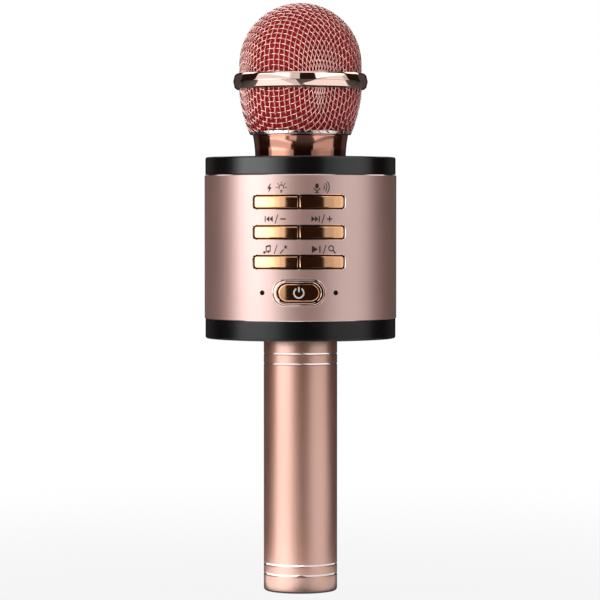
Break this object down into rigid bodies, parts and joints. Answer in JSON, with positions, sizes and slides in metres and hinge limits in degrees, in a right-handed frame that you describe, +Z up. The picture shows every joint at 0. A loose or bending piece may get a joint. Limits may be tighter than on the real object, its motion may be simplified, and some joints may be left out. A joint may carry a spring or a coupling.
{
  "type": "karaoke microphone",
  "caption": "Wireless hand microphone with a screw-off woven mesh head over foam, a round barrel with push buttons, speakers and light bands, and a screw-off battery handle.",
  "frame": {"origin": "centre of the flat underside of the handle's end cap", "axes": "+Z up along the microphone's axis, with the buttons facing -Y"},
  "size_m": [0.0816, 0.0821, 0.25],
  "materials": {
    "black_plastic": "moulded",
    "cell_wrap": "shrink sleeve",
    "circuit_board": "solder mask",
    "copper_rose": "satin anodised with diamond-cut rings",
    "foam": "open-cell foam",
    "gold_cap": "bright gold plating",
    "grey_plastic": "moulded",
    "grille_grey": "perforated",
    "lens": "dark clear",
    "mesh_wire": "woven wire, rose tinted",
    "nickel": "nickel plated",
    "paper_cone": "pressed paper",
    "plated_rose": "bright rose plating",
    "rubber": "matte",
    "satin_rose": "satin anodised",
    "smoked": "smoked, semi-gloss",
    "steel": "plain"
  },
  "bodies": {
    "barrel": {"audio_jack": "black_plastic", "barrel_shell": "satin_rose", "bottom_cover": "black_plastic", "capsule_mount": "rubber", "capsule_stem": "black_plastic", "chassis": "grey_plastic", "chassis_screw_1": "steel", "chassis_screw_2": "steel", "chassis_screw_3": "steel", "chassis_screw_4": "steel", "contact_plate": "nickel", "echo_switch": "steel", "flash_switch": "steel", "handle_neck": "black_plastic", "indicator_lens_left": "lens", "indicator_lens_right": "lens", "led_board_bottom": "circuit_board", "led_board_top": "circuit_board", "light_band_bottom": "smoked", "light_band_top": "smoked", "main_board": "circuit_board", "mic_capsule": "nickel", "music_switch": "steel", "neck_collar": "plated_rose", "neck_nut": "steel", "next_switch": "steel", "play_switch": "steel", "port_board": "circuit_board", "power_bezel": "plated_rose", "power_switch": "steel", "previous_switch": "steel", "speaker_baffle": "black_plastic", "speaker_cone_left": "paper_cone", "speaker_cone_right": "paper_cone", "speaker_frame_left": "steel", "speaker_frame_right": "steel", "speaker_grille": "grille_grey", "speaker_magnet_left": "steel", "speaker_magnet_right": "steel", "top_cover": "black_plastic", "usb_socket": "nickel"},
    "head": {"grille_dome": "mesh_wire", "grille_bowl": "mesh_wire", "grille_band": "plated_rose", "grille_thread_ring": "plated_rose", "foam_liner": "foam"},
    "head_seal": {"head_gasket": "rubber"},
    "handle": {"handle_tube": "copper_rose", "end_cap": "black_plastic", "battery_sleeve": "black_plastic", "battery_spring": "nickel"},
    "battery": {"battery_cell": "cell_wrap"},
    "flash_push": {"flash_button": "gold_cap"},
    "echo_push": {"echo_button": "gold_cap"},
    "previous_push": {"previous_button": "gold_cap"},
    "next_push": {"next_button": "gold_cap"},
    "music_push": {"music_button": "gold_cap"},
    "play_push": {"play_button": "gold_cap"},
    "power_push": {"power_button": "gold_cap"}
  },
  "joints": [
    {"name": "flash_press", "type": "slide", "parent": "barrel", "child": "flash_push", "axis": [0, 1, 0], "range_m": [0, 0.0006], "stiffness_N_per_m": 400, "springref_m": -0.001},
    {"name": "echo_press", "type": "slide", "parent": "barrel", "child": "echo_push", "axis": [0, 1, 0], "range_m": [0, 0.0006], "stiffness_N_per_m": 400, "springref_m": -0.001},
    {"name": "previous_press", "type": "slide", "parent": "barrel", "child": "previous_push", "axis": [0, 1, 0], "range_m": [0, 0.0006], "stiffness_N_per_m": 400, "springref_m": -0.001},
    {"name": "next_press", "type": "slide", "parent": "barrel", "child": "next_push", "axis": [0, 1, 0], "range_m": [0, 0.0006], "stiffness_N_per_m": 400, "springref_m": -0.001},
    {"name": "music_press", "type": "slide", "parent": "barrel", "child": "music_push", "axis": [0, 1, 0], "range_m": [0, 0.0006], "stiffness_N_per_m": 400, "springref_m": -0.001},
    {"name": "play_press", "type": "slide", "parent": "barrel", "child": "play_push", "axis": [0, 1, 0], "range_m": [0, 0.0006], "stiffness_N_per_m": 400, "springref_m": -0.001},
    {"name": "power_press", "type": "slide", "parent": "barrel", "child": "power_push", "axis": [0, 1, 0], "range_m": [0, 0.0006], "stiffness_N_per_m": 400, "springref_m": -0.001},
    {"name": "head_lift", "type": "slide", "parent": "barrel", "child": "head_seal", "axis": [0, 0, 1], "range_m": [0, 0.006]},
    {"name": "head_unscrew", "type": "hinge", "parent": "head_seal", "child": "head", "pos_m": [0, 0, 0.2], "axis": [0, 0, 1], "range_deg": [0, 1440]},
    {"name": "handle_drop", "type": "slide", "parent": "barrel", "child": "battery", "axis": [0, 0, -1], "range_m": [0, 0.006]},
    {"name": "handle_unscrew", "type": "hinge", "parent": "battery", "child": "handle", "pos_m": [0, 0, 0.05], "axis": [0, 0, -1], "range_deg": [0, 1440]}
  ],
  "couplings": [
    {"joint": "head_unscrew", "follows": "head_lift", "rad_per_m": 4188.8},
    {"joint": "handle_unscrew", "follows": "handle_drop", "rad_per_m": 4188.8}
  ]
}
